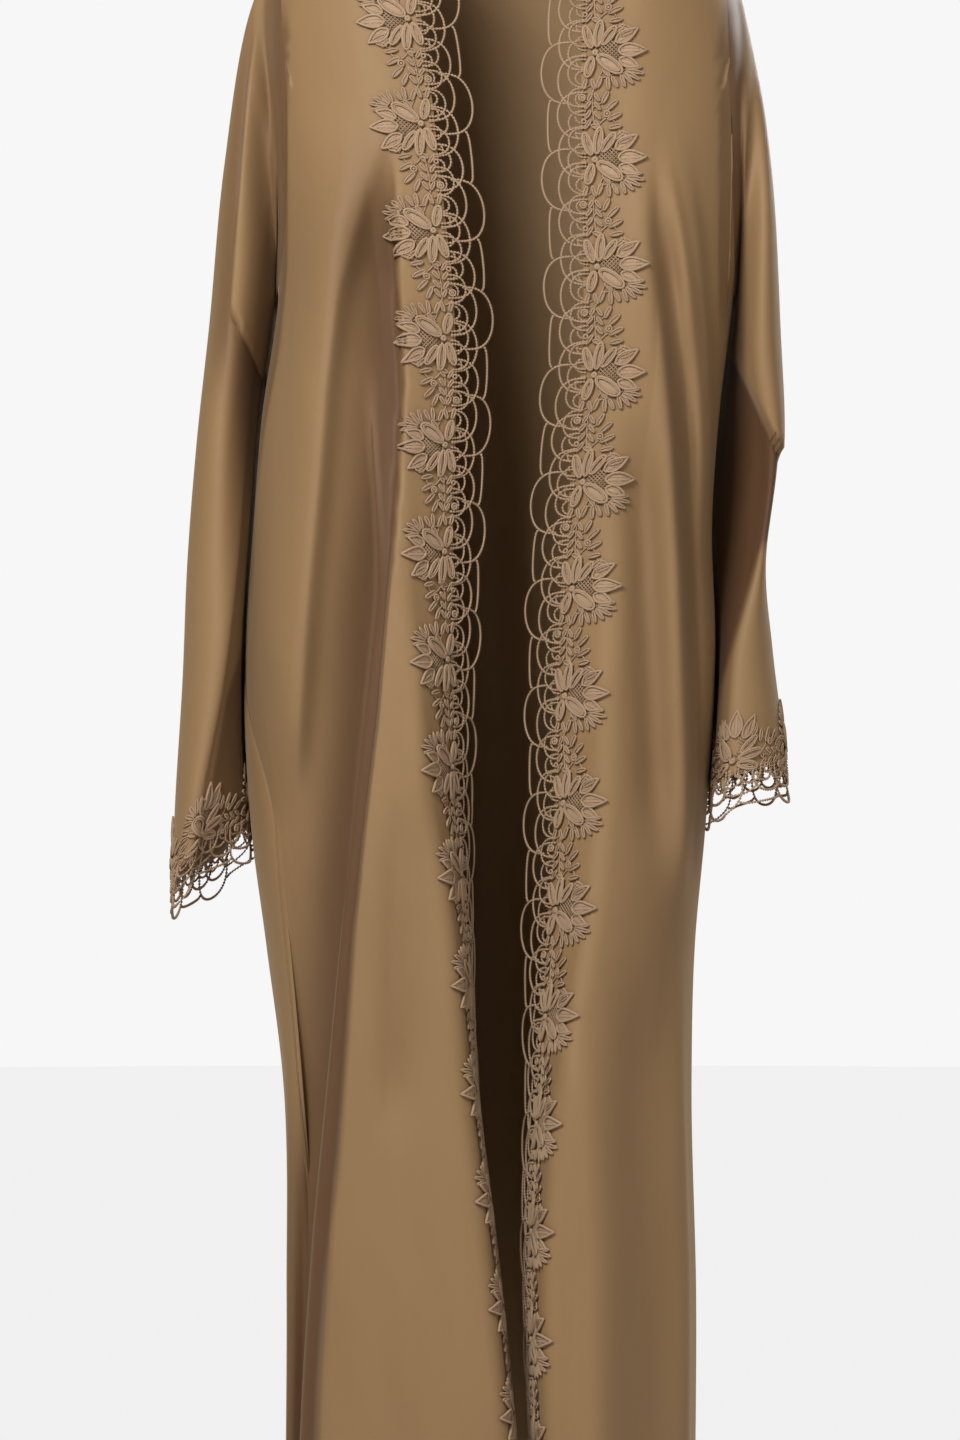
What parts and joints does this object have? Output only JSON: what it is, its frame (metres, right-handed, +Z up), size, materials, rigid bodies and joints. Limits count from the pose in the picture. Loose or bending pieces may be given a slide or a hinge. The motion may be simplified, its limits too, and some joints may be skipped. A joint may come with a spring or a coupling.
{
  "type": "abaya cloak",
  "caption": "Open-front full-length abaya cloak in plain woven cloth, worn and hollow, with openwork floral lace down both fronts and round the cuffs.",
  "frame": {"origin": "midway between the two side-neck points of the shoulder seams, where the wearer's shoulders hold the garment up", "axes": "+X towards the wearer's left, -Y towards the open front, +Z up from the hem to the shoulders"},
  "size_m": [0.5434, 0.3492, 1.4321],
  "materials": {
    "cloth": "smooth woven crepe with a soft satin sheen",
    "lace": "matte corded lace"
  },
  "bodies": {
    "root": {"back": "cloth", "front_right": "cloth", "front_left": "cloth", "sleeve_right": "cloth", "sleeve_left": "cloth", "lace_front_right": "lace", "lace_front_left": "lace", "lace_cuff_right_front": "lace", "lace_cuff_right_back": "lace", "lace_cuff_left_front": "lace", "lace_cuff_left_back": "lace"}
  },
  "joints": []
}
